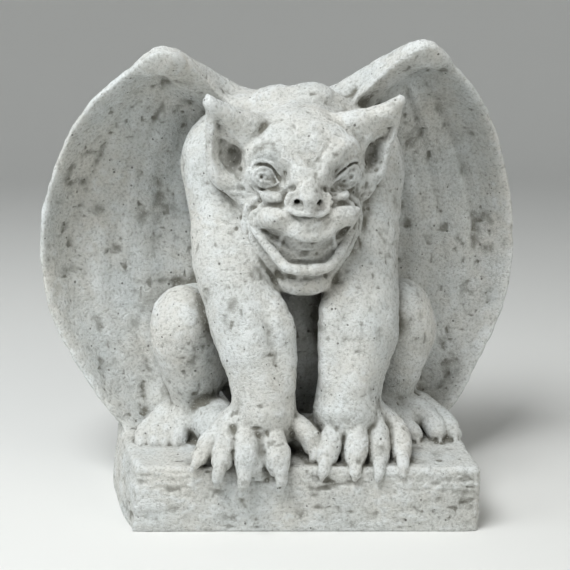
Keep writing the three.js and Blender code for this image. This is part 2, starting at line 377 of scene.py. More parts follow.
# The forelegs: heavy shoulders and thick arms that taper to the wrist, the left one
# lean with a strip of muscle inside, the right one heavier at the elbow. Creases are
# drawn into the soft clay with a blunt tool.
EASE_PASSES = 2
arm_lines = {
    -1: [
        (-45, -8, 222, 26), (-43, -15, 192, 25), (-42.4, -27, 163, 26), (-38.5, -38, 142, 24),
        (-35.6, -45, 126, 24), (-31.5, -51, 110, 23), (-29, -55, 97, 20.8), (-27, -58, 84, 20),
        (-27, -60, 72, 20.5),
    ],
    1: [
        (47, -8, 220, 27), (45, -15, 194, 25.5), (42, -27, 160, 24), (39.4, -38, 136, 25.5),
        (37, -45, 118, 26.2), (33.4, -51, 102, 23), (30, -55, 90, 21), (28, -58, 80, 20.6),
        (27, -60, 70, 22),
    ],
}


# The depth of the skin as met from the front at (x, z), or 0 where there is none.
def front(x, z):
    column = np.round((np.array([x, z]) - CLAY_LOW[[0, 2]]) / CELL).astype(int)
    depths = clay_skin[column[0], :, column[1]]
    solid = np.nonzero(depths < 0)[0]
    if len(solid) == 0:
        return 0.0
    at = solid[0]
    before, after = depths[at - 1], depths[at]
    return float(clay_lines[1][at] - CELL * after / (after - before - 1e-6))


# A raised or cut line drawn on the front of the skin through (x, z, radius). lift is how
# far the roll's middle stands off the skin.
def ridge(stops, lift=0.0, k=1.0, cut=False):
    drawn = smooth_line([(x, 0, z, r) for x, z, r in stops])
    depths = [front(x, z) for x, _, z, _ in drawn]
    for _ in range(EASE_PASSES):
        eased = [0.25 * a + 0.5 * b + 0.25 * c for a, b, c in zip(depths, depths[1:], depths[2:])]
        depths = [depths[0]] + eased + [depths[-1]]
    drawn[:, 1] = np.array(depths) - lift
    roll(drawn, k, cut)


def groove(stops, lift=0.3, k=0.8):
    ridge(stops, lift, k, True)


def model_arm(side):
    egg((side * 45, -3, 222), (27, 26, 36), 6)
    roll(arm_lines[side], 5)
    if side < 0:
        roll([(-31, -46, 142, 15), (-19.5, -56, 128, 12), (-16.5, -61, 112, 10), (-16, -65, 90, 9)], 2)
        groove([(-37, 145, 0.6), (-27, 133, 1.2), (-24, 122, 1.2), (-22, 107, 0.5)], 0.5, 4)
        for x, z, fall in ((-56, 191.5, 2.2), (-55, 186, 1.6)):
            groove([(x - 11, z + 2.5, 0.4), (x, z, 1.1), (x + 11, z - fall, 0.4)], 0.6, 3)
    else:
        roll([(30, -44, 146, 14), (21, -52, 132, 12), (18, -58, 112, 10), (17, -62, 92, 9)], 3)
        groove([(31, 150.5, 0.4), (40, 147.6, 1.2), (48, 151, 0.4)], 0.6, 3)
        groove([(58, 187, 0.4), (64, 184.5, 1.1), (70, 187, 0.4)], 0.6, 3)


for side in (-1, 1):
    model_arm(side)


# The hands: flat palms on the base with fat knuckled fingers and blunt claws that hang
# over its front edge. Each digit is a roll for the flesh and a thinner one for the claw.
left_digits = [
    ([(-52, -58, 62, 7), (-61, -66, 56, 6.8), (-68.5, -73, 49, 6)],
     [(-68.5, -74, 49, 4.2), (-72, -78, 46, 3), (-73.5, -79, 43.5, 1.8)]),
    ([(-48, -64, 63, 7.5), (-53.4, -74, 55.5, 7.4), (-56, -79.5, 47.5, 7)],
     [(-57, -82, 47.5, 4.8), (-58.8, -85, 41, 4.1), (-60.4, -84, 33.5, 1.9)]),
    ([(-38.5, -66, 66, 8), (-40.4, -77, 58, 8), (-41, -83, 50, 7.8), (-41.6, -84.5, 44, 6.6)],
     [(-42.5, -87, 44.5, 4.9), (-44, -89.5, 37, 4), (-45, -88, 28, 2)]),
    ([(-27, -66, 66, 8), (-23.6, -77, 57.5, 8.4), (-22, -83.5, 50, 8.5), (-21.5, -85, 44, 7)],
     [(-20.6, -88.5, 43, 4.7), (-20.6, -90.5, 37.5, 3.8), (-21, -89, 30.5, 2)]),
    ([(-18, -57, 66, 8.5), (-7, -66, 62.5, 7.6), (0.5, -71, 57, 7.2), (2.6, -73, 50.5, 6.4)],
     [(3, -75.5, 50, 4.4), (1.8, -78, 45.5, 3.2), (0, -78, 42.5, 1.8)]),
]
right_digits = [
    ([(20, -64, 66, 7.5), (14.8, -74, 58.5, 7.3), (11.6, -79, 51.5, 7), (9.2, -82, 45.5, 6)],
     [(8.2, -85, 45.5, 4), (6, -89, 40.5, 3.4), (4.8, -90, 35.5, 1.8)]),
    ([(30, -66, 66, 7.8), (29.4, -77, 59, 7.7), (28.4, -82.5, 51.5, 7.5), (27, -85.5, 46, 6.6)],
     [(26.5, -89, 45, 4.2), (25.8, -93, 40.5, 3.6), (25, -93.6, 36, 1.9)]),
    ([(43.5, -64, 64, 7.3), (43.8, -75, 57.5, 7.3), (42.8, -82, 51, 7.2), (41.8, -86, 45.5, 6.4)],
     [(41, -90, 45, 4.2), (40, -94.5, 41, 3.5), (39, -95.6, 36, 1.9)]),
    ([(53, -58, 61, 7.4), (57.8, -69, 56.5, 7.2), (58, -78, 51.5, 7.2), (57.2, -84, 46.5, 6.2)],
     [(56.6, -88.5, 46.5, 4.3), (55.5, -94, 43.5, 3.6), (54.4, -97, 38, 1.9)]),
]


def model_digit(stops, claw, k=1.4):
    roll(stops, k)
    roll(claw, 0.7)


def model_hands():
    egg((-31, -56, 61), (27, 21, 16), 6)
    egg((33, -55, 60), (26, 21, 16), 6)
    egg((2, -50, 52), (14, 18, 12), 4)
    for x in (-54, 55):
        egg((x, -26, 54), (17, 24, 15), 6)
    # The webs between the fingers.
    for x, y, z in (
        (-57, -68, 53), (-47.5, -73, 54), (-32, -74, 55), (22, -75, 55), (36.5, -76, 54), (50.5, -74, 53),
    ):
        roll([(x, y + 10, z + 6, 5.5), (x, y, z - 3, 4.5), (x, y - 4, z - 10, 3)], 3)
    for stops, claw in left_digits + right_digits:
        model_digit(stops, claw)
    # A stub between the left hand's two middle fingers.
    roll([(-36, -82, 48, 5), (-34.5, -83.5, 42, 4), (-33.5, -83, 37, 2.5)], 3)
    roll([(-31, -76, 56, 4), (-31.5, -80, 48, 3.5)], 4)
    # The wrinkles across the fingers' knuckles.
    for x, z, width in (
        (-22.5, 59, 6), (-22, 55.5, 6), (-21.6, 52.5, 5.5), (-41, 57, 4), (-54.5, 57, 4), (29.5, 60, 5),
        (28.8, 56.5, 4.5), (43.5, 58, 4.5), (43, 54.5, 4.5), (57.5, 55, 4), (14.5, 57.5, 4),
    ):
        groove([(x - width, z + 0.8, 0.4), (x, z - 0.5, 0.7), (x + width, z + 0.6, 0.4)], 0.2, 0.8)


model_hands()


# The hind feet's toes: short rolls that fan out from the shank on the top of the base,
# each with a small claw that touches it.
left_toes = [
    ([(-86, -4, 54, 8), (-97, -12, 48, 6.6), (-102, -20, 46.5, 5.6), (-103.4, -26, 44, 5)],
     [(-103.6, -28, 44.5, 3.4), (-103.9, -31.5, 42.4, 1.6)]),
    ([(-80, -6, 56, 9), (-90, -12, 49.5, 6.6), (-94, -21, 47, 6), (-95.2, -28, 44, 5.2)],
     [(-95.4, -30, 44.5, 3.4), (-95.8, -33.5, 42.2, 1.6)]),
    ([(-74, -8, 56, 9), (-83, -16, 50, 7), (-87, -24, 47, 6), (-88.5, -29, 44, 5)],
     [(-88.7, -31, 44.5, 3.2), (-89, -34.5, 42.2, 1.6)]),
    ([(-66, -8, 58, 9), (-73.5, -16, 51.5, 7.4), (-77.8, -25, 48, 6.6), (-80.3, -31, 44, 5.4)],
     [(-80.8, -33, 44.5, 3.4), (-81.4, -36.5, 42.2, 1.6)]),
]
right_toes = [
    ([(60, -26, 57, 8), (67, -34, 54, 6.8), (71.5, -43, 50.5, 6.4), (74.8, -49, 46, 5.6)],
     [(75.4, -51, 45.5, 3.6), (75.8, -55, 42.4, 1.7)]),
    ([(76, -24, 58, 9), (85.5, -33, 54, 7.6), (89, -43, 51, 7.2), (90.2, -50, 46, 6)],
     [(90.4, -52, 45.5, 3.8), (90.6, -56.5, 42.4, 1.8)]),
    ([(86, -20, 57, 9), (95.5, -29, 53, 7), (100, -41, 50, 6.6), (101.4, -49, 45.5, 5.6)],
     [(101.6, -51, 45, 3.6), (101.2, -56, 42.3, 1.7)]),
]


def model_feet():
    for stops, claw in left_toes + right_toes:
        model_digit(stops, claw, 1.8)


model_feet()


# The head: a broad skull over a puffed muzzle and a heavy jaw, thrust forward between
# the shoulders. These are only its masses, and the features are worked into them.
def model_head():
    egg((0, -33, 226), (38, 34, 36), 4)
    egg((0.5, -38, 206), (39.5, 24, 34), 6)
    egg((0.5, -38, 188), (38, 26, 40), 8)
    egg((0, -43, 236), (35, 25, 18), 8)
    for x in (-33.5, 34):
        egg((x, -43, 221), (6.5, 10.5, 17), 5)
    egg((0, -57, 193), (29, 15, 12), 8)
    egg((0.5, -51, 152), (17, 11, 8), 5)
    egg((0, -62, 214), (15, 11, 14), 7)


model_head()


# The ears: thick leaves with a bowl hollowed in each, a horn-like upper rim and a small
# lobe below. They are cut out as plates and pressed to the sides of the skull.
left_ear = smooth_loop([
    (-24, 250), (-32, 258.3), (-44.2, 262.4), (-52.8, 265.5), (-59.7, 269.6), (-59.6, 258),
    (-60.6, 241.6), (-60, 228), (-58.4, 219.7), (-54.8, 213.4), (-48.5, 208.6), (-42, 203.4),
    (-37, 199.5), (-30, 206), (-27, 228),
], 5)
left_bowl = smooth_loop([
    (-54.8, 256.5), (-57, 247.6), (-57.4, 232.8), (-55.6, 224.2), (-51.5, 218.9), (-44.7, 216.3),
    (-38, 216), (-35.5, 226), (-35.8, 236), (-40, 242.5), (-46.9, 250.2),
], 5)
right_ear = smooth_loop([
    (22, 250), (29.3, 257.5), (43.2, 260.2), (52.2, 263.6), (59, 267.6), (62, 266.5), (61.5, 257.7),
    (60.6, 246.6), (58.4, 239.8), (56.6, 232), (55.4, 224), (53, 217), (48.6, 211), (42, 202.6),
    (34, 206), (28, 228),
], 5)
right_bowl = smooth_loop([
    (57.6, 250.5), (57.6, 243), (54.5, 235), (52.8, 226), (49.5, 220.2), (44, 218.4), (38.5, 220.5),
    (37.6, 230), (39, 239.4), (42.1, 244.8), (47, 248.8), (53, 250.6),
], 5)


def flat(value):
    return lambda x, z, edge: value + 0 * x


def model_ear(side, outline, bowl):
    def middle(x, z, edge):
        return -41.5 - 8 * np.clip((z - 232) / 34, 0, 1)

    def bowl_front(x, z, edge):
        return middle(x, z, edge) - 9

    def bowl_depth(x, z, edge):
        return 2 * (1 + 9.5 * np.clip(-edge / 7, 0, 1) ** 0.6)

    egg((side * 34, -36, 226), (12, 10, 22), 3)
    plate(outline, middle, flat(13), (-78, -15), 2)
    roll(mirrored(side, [
        (20, -38, 247, 9.5), (31, -43, 249.5, 9), (42, -47.5, 254, 6.6), (51.5, -51.5, 258.8, 5.6),
        (58.4, -54, 264.8, 3.8),
    ]), 2.5)
    plate(bowl, bowl_front, bowl_depth, (-70, -30), 1.2, cut=True)
    roll(mirrored(side, [
        (53.5, -45, 247.5, 1.6), (47, -44, 243.6, 2.4), (40, -43, 240.6, 2), (37, -42, 236, 1.4),
    ]), 2.5)
    roll(mirrored(side, [(54.5, -44, 240, 1.4), (53, -43, 229, 1.8), (48, -42, 221.5, 1.4)]), 2.5)
    egg((side * 42.5, -42, 231.5), (4.6, 4, 7), 3, cut=True)
    groove([(side * 49.5, 211.3, 0.6), (side * 43.6, 211.2, 1), (side * 37.5, 211.6, 0.8)], 0.3, 1.5)
    groove([(side * 45, 206.8, 0.5), (side * 41, 207, 0.8), (side * 37.5, 206, 0.6)], 0.3, 1.5)


model_ear(-1, left_ear, left_bowl)
model_ear(1, right_ear, right_bowl)


# The mouth: two puffed cheeks of muzzle over a wide open grin, which is cut right into
# the head, with the tongue and the corners of the gums laid back inside it.
def model_mouth():
    egg((-17.3, -61, 197.2), (13.6, 14, 9), 3, (0, -8, 0))
    egg((18, -61, 196.8), (14.2, 14, 9), 3.5, (0, 8, 0))
    egg((0, -65, 192), (15, 10.5, 9), 4)
    cavity = smooth_loop([
        (-30, 190), (-22, 190.4), (-13, 187.5), (-7, 183.5), (0, 182), (10, 183.5), (16, 188),
        (23, 190.4), (28.5, 190), (27, 184), (19.5, 174.5), (13, 168.5), (0, 166.8), (-13, 168),
        (-20, 176), (-27.5, 184.5),
    ], 4)
    plate(cavity, lambda x, z, edge: -75 + 0.012 * x ** 2, flat(30), (-98, -40), 1.0, cut=True)
    egg((0, -58, 176.2), (9.2, 6.5, 2.6), 0.8)
    egg((0, -57, 170), (12, 6, 3.4), 1)
    ridge([(-13.5, 187.5, 1.2), (-15.8, 182, 1.5), (-17.5, 175, 1.2)], -0.2, 1.0)
    ridge([(14.5, 187.5, 1.2), (16.8, 181.5, 1.5), (18.3, 174.5, 1.2)], -0.2, 1.0)


model_mouth()


# The nose: a broad turned-up snout with two deep nostrils, rolled wings round them and a
# fold across the bridge.
def model_nose():
    ridge([(-9, 219.5, 3.4), (-6, 221.8, 4.2), (0, 222.4, 4.6), (5, 221.4, 4.2), (7.5, 219, 3.4)], -0.6, 2)
    egg((-1, -69.5, 216.5), (9, 8, 8), 3)
    egg((-1.2, -72.5, 213), (7, 8, 7.5), 3)
    egg((-1.3, -76.5, 209.5), (6.2, 6, 5.2), 2)
    egg((-1, -69.5, 206), (14, 7, 7.5), 2.5)
    roll([
        (-7.5, -72, 213, 1.6), (-12, -72, 211, 2), (-14, -72, 207.5, 2.1), (-13.4, -73, 203.5, 1.9),
        (-10.5, -74.5, 200.8, 1.8), (-5.6, -76, 199.9, 1.8), (-1.2, -77, 200.8, 2),
        (3.6, -76, 199.4, 1.8), (8.6, -74.5, 200, 1.8), (11.6, -73, 202.8, 1.9), (12.2, -72, 206.6, 2.1),
        (10.4, -72, 210.3, 2), (6, -72, 212.6, 1.6),
    ], 1.6)
    egg((-8.4, -79.5, 205.4), (4.6, 6.5, 3.8), 1, cut=True)
    egg((6.6, -79.5, 204.8), (4.4, 6.5, 3.7), 1, cut=True)
    roll([(-1.6, -77.5, 206, 3.1), (-1.3, -77.5, 201, 2.6)], 2)
    for x, z in ((-8.9, 206), (5.4, 205.2)):
        roll([(x, -78, z, 1.7), (x * 0.8, -66, z + 3, 1.5)], 0.6, cut=True)
    groove([(-6, 218.5, 0.6), (-9.5, 216, 0.9), (-13.5, 213.2, 1), (-16.4, 208, 0.8)], 0.3, 1.2)
    groove([(5, 217.5, 0.6), (7.5, 215, 0.9), (11.5, 213.4, 0.9), (14.8, 208, 0.8)], 0.3, 1.2)


model_nose()


# The folds of the cheeks: raised lines that run from the snout round the grin, with
# creases cut between them.
def model_folds():
    for side, low in ((-1, 182), (1, 183)):
        ridge([
            (side * 18, 206.5, 1.4), (side * 25, 204.3, 2), (side * 30.5, 199.5, 2.1),
            (side * 33.3, 192.5, 2), (side * 32.6, low, 1.2),
        ], -0.4, 1.8)
        groove([
            (side * 29, 203.5, 0.6), (side * 33.5, 199.5, 0.9), (side * 35.6, 191, 0.9),
            (side * 34.6, low, 0.6),
        ], 0.2, 1.5)
        ridge([
            (side * 29, 207, 0.8), (side * 34, 202, 1.6), (side * 36.8, 193, 1.6), (side * 36, low, 0.8),
        ], -0.6, 1.8)
    egg((-20.5, -62, 208.2), (8.5, 8, 4.4), 2.2, (0, 12, 0))
    egg((19, -62, 208.2), (8, 7.5, 4.2), 2.2, (0, -10, 0))
    groove([(-28, 203.5, 0.6), (-21, 204.4, 1), (-14.5, 203.6, 0.7)], 0.3, 1.5)
    groove([(26, 203.5, 0.6), (20, 204.2, 0.9), (13.5, 203.4, 0.6)], 0.3, 1.5)
    groove([(12, 213.4, 0.6), (18, 211.9, 0.8), (25, 213, 0.6)], 0.2, 1.2)
    groove([(-12.5, 199.4, 0.5), (-7, 196, 0.9), (-2, 192.5, 0.5)], 0.3, 1.2)
    groove([(10, 198.4, 0.4), (5, 196, 0.7), (0.5, 193.4, 0.4)], 0.2, 1.2)


model_folds()


# The lips and the jaw: thick rolls round the grin, and folds of skin below it that run
# down to the chin.
def model_lips():
    roll([
        (-30, -56, 192.3, 2.2), (-22, -65.5, 193.4, 2.8), (-13.5, -69.5, 190.8, 3), (-7, -71.5, 186.4, 3),
        (0.3, -72.2, 184.6, 3), (10, -71.5, 186.2, 3), (15.8, -69, 190.8, 3), (22.5, -64.5, 192.8, 2.8),
        (28.5, -56, 192.2, 2.2),
    ], 4)
    roll([
        (-31, -53.5, 187, 2), (-26.8, -58.5, 181, 2.7), (-20.5, -62.5, 173, 3), (-15, -65, 166.6, 3.3),
        (-11, -66.4, 164.5, 3.5), (0, -67, 163.4, 3.7), (11, -66.4, 164.5, 3.5), (15, -65, 166.6, 3.3),
        (20.5, -62.5, 173, 3), (26.3, -58.5, 180.5, 2.7), (30.5, -53.5, 186, 2),
    ], 1.6)
    for side, width in ((-1, 1.8), (1, 2.4)):
        ridge([
            (side * 33.5, 183, width * 0.7), (side * 29.5, 175, width), (side * 24, 167, width),
            (side * 18, 158, width * 0.8), (side * 15, 153, width * 0.4),
        ], -0.6, 2)
    ridge([(-35, 178, 1), (-31, 168.5, 1.8), (-26, 160.5, 1.8), (-20.5, 151.5, 0.8)], -0.6, 2)
    groove([(-10, 157.8, 0.7), (0, 157, 1.1), (10, 157.8, 0.7)], 0.3, 1.5)


model_lips()


# The eyes: round balls set in sunken sockets. The left one is wide open and staring,
# the right one narrowed under a heavy brow.
left_eye = smooth_loop([
    (-32, 220.6), (-30, 223.6), (-26.5, 225), (-22.6, 223.4), (-18.6, 217.6), (-21.5, 216), (-26, 215.4),
    (-30, 217.2),
], 4)
right_eye = smooth_loop([
    (16.8, 215.2), (21.6, 219), (26.5, 222.8), (30.8, 223.8), (32.6, 221), (31, 216.6), (26.5, 214),
    (21, 213.8),
], 4)


def model_eyes():
    for x, z in ((-25.5, 220.5), (25, 220)):
        egg((x, -71, z + 0.5), (10.5, 12, 8.5), 4, cut=True)
        egg((x, -53, z), (9.8, 8.6, 8), 2.5)
    plate(left_eye, flat(-66), flat(16), (-80, -50), 0.6, cut=True)
    plate(right_eye, flat(-66), flat(16), (-80, -50), 0.6, cut=True)
    egg((-25.8, -53.4, 220), (7.4, 6.4, 6.4), 0.4)
    egg((26.4, -53.4, 218.6), (7.4, 6.4, 6.4), 0.4)


model_eyes()


# The brow: two heavy arched ridges over the eyes, with a hollow and deep frown lines
# between them and creases at their outer ends.
def model_brow():
    ridge([(-6, 225.5, 3.4), (-12, 231.5, 4.8), (-21, 237, 5), (-29, 236.5, 4.2), (-33, 231, 2.6)], -2.4, 5)
    ridge([(6.5, 222.5, 3.2), (12, 230, 4.5), (21, 238, 4.8), (29, 237.5, 4.2), (33, 232, 2.6)], -1.8, 4)
    egg((0, -76, 239), (8.5, 7.5, 11), 4, cut=True)
    for crease in (
        [(-16, 243, 0.3), (-11.5, 235, 0.8), (-7.5, 229, 0.5)],
        [(-11.5, 239, 0.3), (-8, 232.5, 0.7), (-4.5, 228, 0.5)],
        [(14, 243, 0.3), (8.5, 235.5, 0.9), (3.5, 229, 0.5)],
    ):
        groove(crease, 0.3, 1.6)
    groove([(-34, 233, 0.6), (-29, 238.5, 0.8), (-21, 238.5, 0.6)], 0.3, 1.8)
    groove([(-34, 236.5, 0.6), (-29, 241, 0.8), (-21.5, 241.5, 0.5)], 0.3, 1.8)
    groove([(29, 239.5, 0.6), (32, 235.5, 0.8), (33.5, 231, 0.6)], 0.3, 1.5)


model_brow()


# The lids: thin raised lines round each eye with a crease beyond them, and a ring with
# a drilled point for each pupil.
PUPIL_RADIUS = 2.5
PUPIL_STEPS = 12


def model_lids():
    ridge([
        (-33, 221, 0.9), (-30.6, 224.6, 1.2), (-26.5, 226.2, 1.3), (-22, 224.4, 1.2), (-18, 217.6, 0.9),
    ], 0.2, 0.5)
    groove([
        (-33.5, 223.6, 0.5), (-30, 227.4, 0.7), (-26, 228.4, 0.7), (-21, 226, 0.7), (-17, 219, 0.5),
    ], 0.2, 0.4)
    ridge([
        (-34.5, 224, 0.9), (-31, 229, 1.2), (-26.5, 230.3, 1.3), (-21, 228.4, 1.2), (-16.8, 222, 0.9),
    ], 0.0, 0.6)
    ridge([
        (-32.6, 219.4, 0.8), (-30, 216, 1), (-25.5, 214.2, 1), (-20.5, 215, 1), (-18, 217, 0.7),
    ], 0.0, 0.5)
    groove([(-33.6, 217.6, 0.5), (-30, 213.8, 0.6), (-25.5, 212.4, 0.6), (-20, 213.2, 0.5)], 0.2, 0.4)
    ridge([(-34, 216, 0.8), (-30, 212, 1), (-25, 210.6, 1), (-19.5, 211.8, 0.8)], 0.0, 0.6)
    ridge([
        (15, 216.4, 1), (21, 220.6, 1.5), (26.5, 224.8, 1.6), (31.5, 225.6, 1.4), (34, 222.5, 1),
    ], 0.3, 0.5)
    groove([(16, 219, 0.5), (21.5, 223.4, 0.7), (27, 227.4, 0.7), (32.5, 227.6, 0.6)], 0.2, 0.4)
    ridge([(18.5, 223, 1), (23.5, 227.4, 1.6), (28, 230, 1.7), (33, 229, 1.2)], 0.2, 0.8)
    ridge([(19, 213.4, 0.9), (25, 212.2, 1.1), (30.5, 214, 1.1), (33.5, 219, 0.9)], 0.0, 0.5)
    groove([(19, 211.4, 0.4), (25, 210.2, 0.5), (31, 211.6, 0.5)], 0.2, 0.4)
    for x, z in ((-27.7, 220.4), (27.5, 219)):
        turns = np.linspace(0, 2 * math.pi, PUPIL_STEPS + 1)
        ring = [(x + PUPIL_RADIUS * math.cos(a), z + PUPIL_RADIUS * math.sin(a), 0.5) for a in turns]
        ridge(ring, 0.1, 0.4)
        ridge([(x, z, 1.0), (x + 0.1, z, 1.0)], -0.3, 0.3, cut=True)


model_lids()


# The casting: fine concrete poured in one piece in a mould taken from the clay, so every
# mark is in its skin. The base's sides were stippled, and the rest is pitted all over by
# air bubbles, sand and years of rain.
TRIANGLES = 194000
METRE = 1000
# Each row is how high the lumps stand and how wide they are, in millimetres, and their seed.
LUMPS = ((0.5, 13, 1), (0.42, 6, 2), (0.3, 3.4, 3))
# Each row is the height, how far the streaks are drawn out sideways, grain and seed.
STREAKS = ((1, 0.35, 2.6, 4), (0.7, 0.5, 1.7, 5))
STIPPLE = 0.55
PIT_DEPTH = 1.6
PIT_GRAIN = 3.4
PIT_RARITY = 0.45
PIT_SEED = 6


# The eight corners of a unit cube, each with its weight for points at share in the cube.
def cube_corners(share):
    for dx in (0, 1):
        for dy in (0, 1):
            for dz in (0, 1):
                weight = (
                    (share[:, 0] if dx else 1 - share[:, 0])
                    * (share[:, 1] if dy else 1 - share[:, 1])
                    * (share[:, 2] if dz else 1 - share[:, 2])
                )
                yield dx, dy, dz, weight


# Smooth random hills between -1 and 1, about one per grain of the given size.
def hills(places, grain, seed):
    steps = places / grain + seed * 37.7
    corner = np.floor(steps).astype(np.int64)
    share = steps - corner
    share = share * share * (3 - 2 * share)
    x, y, z = corner.T
    total = 0
    for dx, dy, dz, weight in cube_corners(share):
        mixed = (x + dx) * 73856093 ^ (y + dy) * 19349663 ^ (z + dz) * 83492791
        mixed = (mixed ^ (mixed >> 13)) * 1274126177 & 0x7FFFFFFF
        mixed = (mixed ^ (mixed >> 16)) % 65536
        total = total + weight * (mixed / 32767.5 - 1)
    return total


def rough_skin(places, facing):
    lift = sum(height * hills(places, grain, seed) for height, grain, seed in LUMPS)
    streak = sum(
        height * hills(places * (drawn, drawn, 1), grain, seed) for height, drawn, grain, seed in STREAKS
    )
    upright = np.clip(1.2 - np.abs(facing[:, 2]), 0, 1)
    on_base = np.clip((BASE_HEIGHT - 1 - places[:, 2]) / 3, 0, 1) * upright
    lift = lift + STIPPLE * on_base * streak
    lift = lift - PIT_DEPTH * np.clip(hills(places, PIT_GRAIN, PIT_SEED) - PIT_RARITY, 0, 1)
    return lift * np.clip(places[:, 2] / 2 - 0.2, 0, 1)


def mesh_object(name, places, faces):
    mesh = bpy.data.meshes.new(name)
    mesh.vertices.add(len(places))
    mesh.vertices.foreach_set("co", places.astype(np.float32).ravel())
    mesh.loops.add(faces.size)
    mesh.loops.foreach_set("vertex_index", faces.astype(np.int32).ravel())
    mesh.polygons.add(len(faces))
    mesh.polygons.foreach_set("loop_start", np.arange(0, faces.size, faces.shape[1], dtype=np.int32))
    mesh.update(calc_edges=True)
    mesh.validate()
    piece = bpy.data.objects.new(name, mesh)
    bpy.context.scene.collection.objects.link(piece)
    return piece


def read(items, name, width):
    values = np.empty(len(items) * width, np.float32)
    items.foreach_get(name, values)
    return values.reshape(-1, width).astype(float)


grid = openvdb.FloatGrid(FAR)
grid.copyFromArray(clay_skin)
corners, faces = grid.convertToQuads(0.0)
casting = mesh_object("gargoyle_stone", corners * CELL + CLAY_LOW, faces)
facing = read(casting.data.vertices, "normal", 3)
places = read(casting.data.vertices, "co", 3)
places += facing * rough_skin(places, facing)[:, None]
places[:, 2] = np.maximum(places[:, 2], 0)

# The casting stands in the middle of the frame's box, turned as its base is.
wide, deep = turned_on_base(places[:, 0], places[:, 1])
placed = np.stack([wide, deep, places[:, 2]], axis=1)
middle = 0.5 * (placed.min(axis=0) + placed.max(axis=0))
cad_middle = 0.5 * (cad_box[0] + cad_box[1])
SHIFT = np.array([cad_middle[0] - middle[0] / METRE, cad_middle[1] - middle[1] / METRE, 0])
casting.data.vertices.foreach_set("co", (placed / METRE + SHIFT).astype(np.float32).ravel())
casting.data.update()

# The mesh is thinned to a size that is easy to handle, and keeps a little more of the face
# and the claws than of the rest.
FACE_MIDDLE = (0, -60, 205)
FACE_REACH = 95
FACE_FADE = 45
CLAWS_LOW = 26
CLAWS_HIGH = 82
CLAWS_FRONT = -40
CLAWS_FADE = 20
CLAWS_SHARE = 0.7
KEEP_LEVELS = 7
KEEP_FORCE = 0.004
face_distance = np.linalg.norm((places - FACE_MIDDLE) * (1.5, 1, 1), axis=1)
in_face = np.clip((FACE_REACH - face_distance) / FACE_FADE, 0, 1)
in_claws = CLAWS_SHARE * np.clip((CLAWS_FRONT - places[:, 1]) / CLAWS_FADE, 0, 1)
in_claws = in_claws * (places[:, 2] < CLAWS_HIGH) * (places[:, 2] > CLAWS_LOW)
levels = np.round(np.maximum(in_face, in_claws) * KEEP_LEVELS).astype(int)
keep = casting.vertex_groups.new(name="keep")
for level in range(1, KEEP_LEVELS + 1):
    keep.add(np.nonzero(levels == level)[0].tolist(), level / (KEEP_LEVELS + 1), "REPLACE")
thin = casting.modifiers.new("thin", "DECIMATE")
thin.use_collapse_triangulate = True
thin.vertex_group = "keep"
thin.invert_vertex_group = True
thin.vertex_group_factor = KEEP_FORCE
thin.ratio = TRIANGLES / (2 * len(casting.data.polygons))
evaluated = casting.evaluated_get(bpy.context.evaluated_depsgraph_get())
final_mesh = bpy.data.meshes.new_from_object(evaluated)
casting.modifiers.clear()
casting.data = final_mesh
casting.vertex_groups.clear()
for polygon in final_mesh.polygons:
    polygon.use_smooth = True


# The finish: bare weathered concrete, pale where rain washes it, and dark where it lies deep, partly with
# dirt and partly with painted shade. The share of stone around each point, near, further off and far, is
# kept on the casting as three values that the finish reads; it stands for how little soft light reaches the
# point.
BLUR_PASSES = 3
# Each row is a value's name, its grid step in cells, and its reach and how far off the
# skin it is taken, in millimetres.
DEPTHS = (("crease", 1, 1.2, 0.4), ("hollow", 2, 4.0, 2.0), ("far_occlusion", 4, 11.0, 12.0))


# The share of stone within reach of each grid point, on a grid of every step-th cell.
def packed(step, reach):
    cell = step * CELL
    share = np.clip(0.5 - clay_skin[::step, ::step, ::step] / cell, 0, 1)
    width = max(int(round(reach / cell)), 1)
    reached = 2 * width + 1
    for _ in range(BLUR_PASSES):
        for axis in range(3):
            margins = [(width + 1, width) if i == axis else (0, 0) for i in range(3)]
            total = np.cumsum(np.pad(share, margins, "edge"), axis=axis)
            ahead = np.take(total, range(reached, total.shape[axis]), axis=axis)
            behind = np.take(total, range(0, total.shape[axis] - reached), axis=axis)
            share = (ahead - behind) / reached
    return share.astype(np.float32), cell


def sample(field, cell, points):
    spot = (points - CLAY_LOW) / cell
    corner = np.clip(np.floor(spot).astype(int), 0, np.array(field.shape) - 2)
    x, y, z = corner.T
    total = 0
    for dx, dy, dz, weight in cube_corners(np.clip(spot - corner, 0, 1)):
        total = total + weight * field[x + dx, y + dy, z + dz]
    return total


# Places and facings of the finished mesh, turned back into the figure's own frame.
placed = (read(final_mesh.vertices, "co", 3) - SHIFT) * METRE
final_places = np.stack([
    placed[:, 0] * TURN_COS + placed[:, 1] * TURN_SIN - FIGURE_SHIFT,
    placed[:, 1] * TURN_COS - placed[:, 0] * TURN_SIN,
    placed[:, 2],
], axis=1)
turned_back = np.array([[TURN_COS, -TURN_SIN, 0], [TURN_SIN, TURN_COS, 0], [0, 0, 1]])
final_facing = read(final_mesh.vertices, "normal", 3) @ turned_back
for name, step, reach, out in DEPTHS:
    field, cell = packed(step, reach)
    found = sample(field, cell, final_places + out * final_facing)
    final_mesh.attributes.new(name, "FLOAT", "POINT").data.foreach_set("value", found.astype(np.float32))

